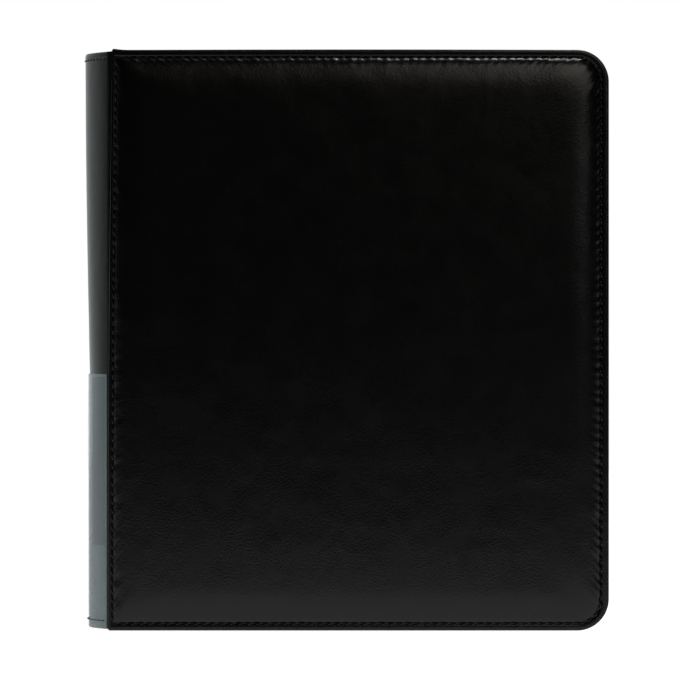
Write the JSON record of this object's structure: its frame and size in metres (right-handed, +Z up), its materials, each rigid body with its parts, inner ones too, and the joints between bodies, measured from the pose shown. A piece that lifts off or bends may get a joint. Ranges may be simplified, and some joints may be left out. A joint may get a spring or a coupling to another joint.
{
  "type": "trading card binder",
  "caption": "Padded leatherette ring binder for card pages, with stitched covers, a curved spine with a label holder, and D-rings on the rear cover.",
  "frame": {"origin": "under the middle of the closed binder, on the surface it stands on", "axes": "+Z up along the spine, -Y out of the front cover, -X out of the spine"},
  "size_m": [0.2636, 0.064, 0.292],
  "materials": {
    "leatherette": "satin",
    "lining": "satin",
    "board": "matte",
    "foam": "matte",
    "paper": "matte",
    "film": "satin",
    "page_film": "gloss",
    "steel": "polished"
  },
  "bodies": {
    "rear_cover": {"lever_pin_lower": "steel", "lever_pin_upper": "steel", "page_1_strip": "page_film", "page_2_strip": "page_film", "page_3_strip": "page_film", "page_4_strip": "page_film", "page_5_strip": "page_film", "page_6_strip": "page_film", "rear_board": "board", "rear_lining": "lining", "rear_padding": "foam", "rear_seam_tab": "leatherette", "rear_skin": "leatherette", "ring_base_plate": "steel", "ring_rivet_lower": "steel", "ring_rivet_upper": "steel"},
    "spine": {"front_fold": "leatherette", "label_holder_film": "film", "label_holder_sheet": "film", "rear_fold": "leatherette", "spine_board": "board", "spine_lining": "lining", "spine_skin": "leatherette"},
    "front_cover": {"front_board": "board", "front_inside_pocket": "lining", "front_lining": "lining", "front_padding": "foam", "front_seam_tab": "leatherette", "front_skin": "leatherette"},
    "label": {"label_card": "paper"},
    "ring_outer": {"ring_blade_outer": "steel", "ring_lower_straight_half": "steel", "ring_middle_straight_half": "steel", "ring_upper_straight_half": "steel"},
    "ring_inner": {"ring_blade_inner": "steel", "ring_lower_round_half": "steel", "ring_middle_round_half": "steel", "ring_upper_round_half": "steel"},
    "lever_upper": {"opening_lever_upper": "steel"},
    "lever_lower": {"opening_lever_lower": "steel"},
    "page_1": {"page_1_panel": "page_film"},
    "page_2": {"page_2_panel": "page_film"},
    "page_3": {"page_3_panel": "page_film"},
    "page_4": {"page_4_panel": "page_film"},
    "page_5": {"page_5_panel": "page_film"},
    "page_6": {"page_6_panel": "page_film"}
  },
  "joints": [
    {"name": "rear_hinge", "type": "hinge", "parent": "rear_cover", "child": "spine", "pos_m": [-0.12135, 0.0262, 0.146], "axis": [0, 0, -1], "range_deg": [0, 90], "deforming": ["rear_fold"]},
    {"name": "front_hinge", "type": "hinge", "parent": "spine", "child": "front_cover", "pos_m": [-0.12135, -0.0262, 0.146], "axis": [0, 0, -1], "range_deg": [0, 180], "deforming": ["front_fold"]},
    {"name": "ring_open", "type": "hinge", "parent": "rear_cover", "child": "ring_outer", "pos_m": [-0.08735, 0.0225, 0.146], "axis": [0, 0, 1], "range_deg": [0, 10]},
    {"name": "ring_open_inner", "type": "hinge", "parent": "rear_cover", "child": "ring_inner", "pos_m": [-0.11535, 0.0225, 0.146], "axis": [0, 0, -1], "range_deg": [0, 10]},
    {"name": "lever_upper_turn", "type": "hinge", "parent": "rear_cover", "child": "lever_upper", "pos_m": [-0.10135, 0.0225, 0.2755], "axis": [-1, 0, 0], "range_deg": [0, 24]},
    {"name": "lever_lower_turn", "type": "hinge", "parent": "rear_cover", "child": "lever_lower", "pos_m": [-0.10135, 0.0225, 0.0165], "axis": [1, 0, 0], "range_deg": [0, 24]},
    {"name": "label_slide", "type": "slide", "parent": "spine", "child": "label", "axis": [0, 0, 1], "range_m": [-0.04, 0.05]},
    {"name": "page_1_turn", "type": "hinge", "parent": "rear_cover", "child": "page_1", "pos_m": [-0.07895, 0.0165, 0.146], "axis": [0, 0, -1], "range_deg": [0, 3.6]},
    {"name": "page_2_turn", "type": "hinge", "parent": "rear_cover", "child": "page_2", "pos_m": [-0.07886, 0.01525, 0.146], "axis": [0, 0, -1], "range_deg": [0, 9.9]},
    {"name": "page_3_turn", "type": "hinge", "parent": "rear_cover", "child": "page_3", "pos_m": [-0.07877, 0.014, 0.146], "axis": [0, 0, -1], "range_deg": [0, 18]},
    {"name": "page_4_turn", "type": "hinge", "parent": "rear_cover", "child": "page_4", "pos_m": [-0.07868, 0.01275, 0.146], "axis": [0, 0, -1], "range_deg": [0, 27]},
    {"name": "page_5_turn", "type": "hinge", "parent": "rear_cover", "child": "page_5", "pos_m": [-0.07859, 0.0115, 0.146], "axis": [0, 0, -1], "range_deg": [0, 39.6]},
    {"name": "page_6_turn", "type": "hinge", "parent": "rear_cover", "child": "page_6", "pos_m": [-0.0785, 0.01025, 0.146], "axis": [0, 0, -1], "range_deg": [0, 79.2]}
  ],
  "couplings": [
    {"joint": "ring_open_inner", "follows": "ring_open", "ratio": 1},
    {"joint": "lever_upper_turn", "follows": "ring_open", "ratio": 2.4},
    {"joint": "lever_lower_turn", "follows": "ring_open", "ratio": 2.4},
    {"joint": "page_1_turn", "follows": "front_hinge", "ratio": 0.02},
    {"joint": "page_2_turn", "follows": "front_hinge", "ratio": 0.055},
    {"joint": "page_3_turn", "follows": "front_hinge", "ratio": 0.1},
    {"joint": "page_4_turn", "follows": "front_hinge", "ratio": 0.15},
    {"joint": "page_5_turn", "follows": "front_hinge", "ratio": 0.22},
    {"joint": "page_6_turn", "follows": "front_hinge", "ratio": 0.44}
  ]
}
